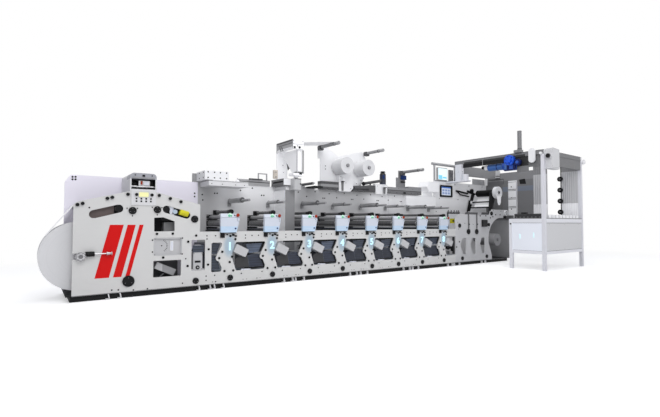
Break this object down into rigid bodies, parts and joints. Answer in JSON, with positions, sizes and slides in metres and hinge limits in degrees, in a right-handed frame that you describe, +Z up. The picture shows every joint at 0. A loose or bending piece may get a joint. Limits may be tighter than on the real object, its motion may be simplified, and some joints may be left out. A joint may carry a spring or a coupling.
{
  "type": "flexographic printing press",
  "caption": "Narrow-web flexographic printing press with an unwind, a row of print units, a film roll stand, a die-cutting and rewinding end, and a delivery booth with a table.",
  "frame": {"origin": "on the floor, under the middle of the row of print units and the middle of the web", "axes": "+X along the web towards the rewind, +Y towards the drive side, +Z up"},
  "size_m": [12.1298, 3.24, 3.52],
  "materials": {
    "aluminium_slats": "extruded",
    "black_plastic": "matt moulded",
    "console_white": "white enamel",
    "painted_black": "black powder coat",
    "painted_blue": "blue enamel",
    "painted_grey": "mid grey powder coat",
    "painted_light": "light grey powder coat",
    "painted_wall": "light grey powder coat",
    "painted_white": "white powder coat",
    "paper_white": "uncoated paper web",
    "roller_grey": "ground roller",
    "steel": "turned and brushed",
    "tray_blue": "dark blue coat"
  },
  "bodies": {
    "root": {"back_wall_left": "painted_wall", "back_wall_middle": "painted_wall", "back_wall_right": "painted_wall", "base_frame": "painted_black", "bearing_blocks": "painted_black", "blower": "painted_blue", "booth_cabinets": "painted_white", "booth_cross_beams": "painted_white", "booth_fans": "black_plastic", "booth_posts": "painted_white", "booth_side_beams": "painted_grey", "booth_walls": "painted_wall", "bridge_idlers": "roller_grey", "console_blocks": "black_plastic", "converting_front_plate": "painted_light", "cover_box": "painted_white", "deflector_boxes": "painted_light", "die_station": "painted_black", "drip_tray": "steel", "drive_cover": "painted_wall", "dryer_boxes": "painted_white", "end_wall": "painted_grey", "front_frame_left": "painted_light", "front_frame_right": "painted_light", "front_hubs": "black_plastic", "ink_trays": "tray_blue", "inspection_station": "painted_white", "paper_web": "paper_white", "print_consoles": "console_white", "print_rollers": "roller_grey", "rewind_arms": "painted_black", "roll_spindles": "steel", "roll_stand": "painted_white", "stand_fittings": "painted_grey", "table_frame": "painted_white", "table_top": "aluminium_slats", "top_ducts": "painted_grey", "touch_panel": "black_plastic", "tower": "painted_white", "unwind_chucks": "steel", "unwind_front_plate": "painted_light", "unwind_idlers": "roller_grey", "vent_pipe": "painted_grey", "web_guide": "painted_white", "window_parts": "painted_wall"},
    "unwind_roll_body": {"unwind_roll": "paper_white", "unwind_shaft": "steel"},
    "film_roll_left_body": {"film_roll_left": "paper_white"},
    "film_roll_right_body": {"film_roll_right": "paper_white"},
    "waste_roll_body": {"waste_disc": "painted_white", "waste_roller": "painted_black"},
    "rewind_roll_body": {"rewind_roll": "paper_white"},
    "plate_cylinder_1_body": {"plate_cylinder_1": "roller_grey"},
    "plate_cylinder_2_body": {"plate_cylinder_2": "roller_grey"},
    "plate_cylinder_3_body": {"plate_cylinder_3": "roller_grey"},
    "plate_cylinder_4_body": {"plate_cylinder_4": "roller_grey"},
    "plate_cylinder_5_body": {"plate_cylinder_5": "roller_grey"},
    "plate_cylinder_6_body": {"plate_cylinder_6": "roller_grey"},
    "plate_cylinder_7_body": {"plate_cylinder_7": "roller_grey"},
    "plate_cylinder_8_body": {"plate_cylinder_8": "roller_grey"}
  },
  "joints": [
    {"name": "unwind_roll_spin", "type": "hinge", "parent": "root", "child": "unwind_roll_body", "pos_m": [-5.275, 0, 0.668], "axis": [0, 1, 0], "continuous": true},
    {"name": "film_roll_left_spin", "type": "hinge", "parent": "root", "child": "film_roll_left_body", "pos_m": [0.018, 0.15, 2.497], "axis": [0, 1, 0], "continuous": true},
    {"name": "film_roll_right_spin", "type": "hinge", "parent": "root", "child": "film_roll_right_body", "pos_m": [0.676, 0.15, 2.497], "axis": [0, 1, 0], "continuous": true},
    {"name": "waste_roll_spin", "type": "hinge", "parent": "root", "child": "waste_roll_body", "pos_m": [5.4, 0, 2.08], "axis": [0, 1, 0], "continuous": true},
    {"name": "rewind_roll_spin", "type": "hinge", "parent": "root", "child": "rewind_roll_body", "pos_m": [5.49, 0, 0.668], "axis": [0, 1, 0], "continuous": true},
    {"name": "plate_cylinder_1_spin", "type": "hinge", "parent": "root", "child": "plate_cylinder_1_body", "pos_m": [-3.075, 0, 1.15], "axis": [0, 1, 0], "continuous": true},
    {"name": "plate_cylinder_2_spin", "type": "hinge", "parent": "root", "child": "plate_cylinder_2_body", "pos_m": [-2.225, 0, 1.15], "axis": [0, 1, 0], "continuous": true},
    {"name": "plate_cylinder_3_spin", "type": "hinge", "parent": "root", "child": "plate_cylinder_3_body", "pos_m": [-1.375, 0, 1.15], "axis": [0, 1, 0], "continuous": true},
    {"name": "plate_cylinder_4_spin", "type": "hinge", "parent": "root", "child": "plate_cylinder_4_body", "pos_m": [-0.525, 0, 1.15], "axis": [0, 1, 0], "continuous": true},
    {"name": "plate_cylinder_5_spin", "type": "hinge", "parent": "root", "child": "plate_cylinder_5_body", "pos_m": [0.325, 0, 1.15], "axis": [0, 1, 0], "continuous": true},
    {"name": "plate_cylinder_6_spin", "type": "hinge", "parent": "root", "child": "plate_cylinder_6_body", "pos_m": [1.175, 0, 1.15], "axis": [0, 1, 0], "continuous": true},
    {"name": "plate_cylinder_7_spin", "type": "hinge", "parent": "root", "child": "plate_cylinder_7_body", "pos_m": [2.025, 0, 1.15], "axis": [0, 1, 0], "continuous": true},
    {"name": "plate_cylinder_8_spin", "type": "hinge", "parent": "root", "child": "plate_cylinder_8_body", "pos_m": [2.875, 0, 1.15], "axis": [0, 1, 0], "continuous": true}
  ]
}
